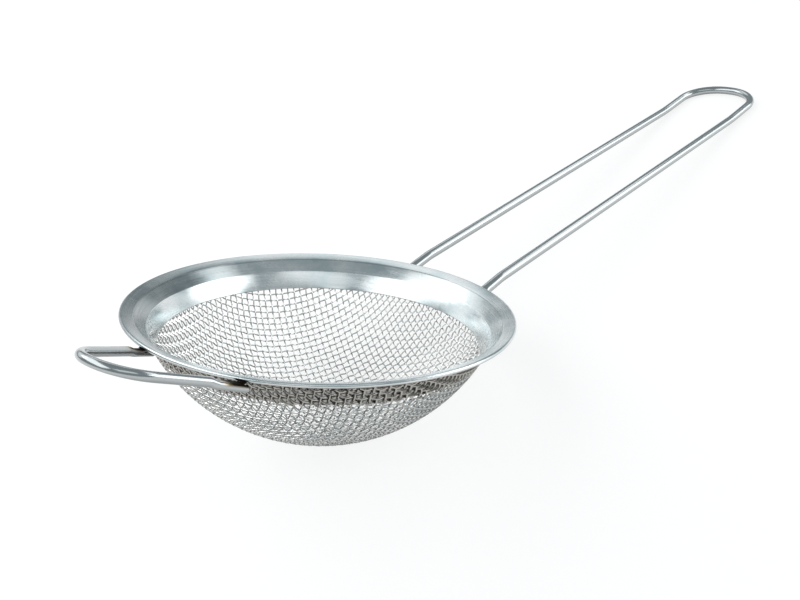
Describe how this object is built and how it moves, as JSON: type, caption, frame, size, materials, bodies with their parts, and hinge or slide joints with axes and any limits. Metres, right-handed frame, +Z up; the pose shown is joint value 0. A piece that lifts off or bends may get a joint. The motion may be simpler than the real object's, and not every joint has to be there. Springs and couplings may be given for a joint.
{
  "type": "mesh strainer",
  "caption": "Small hand-held kitchen strainer: woven steel mesh bowl in a folded sheet rim, with a long looped wire handle and a short wire rest.",
  "frame": {"origin": "centre of the bounding box at the level of the surface the strainer lies on, in the pose it comes to rest in", "axes": "+X along the handle, away from the bowl; +Z up from the surface; +Y across the handle"},
  "size_m": [0.2368, 0.08, 0.0548],
  "materials": {
    "pressed_sheet": "bright rolled stainless sheet, lightly polished",
    "wire_cloth": "plain woven stainless wire",
    "drawn_wire": "bright drawn and polished stainless wire"
  },
  "bodies": {
    "root": {"rim": "pressed_sheet", "mesh_bowl": "wire_cloth", "handle": "drawn_wire", "front_rest": "drawn_wire"}
  },
  "joints": []
}
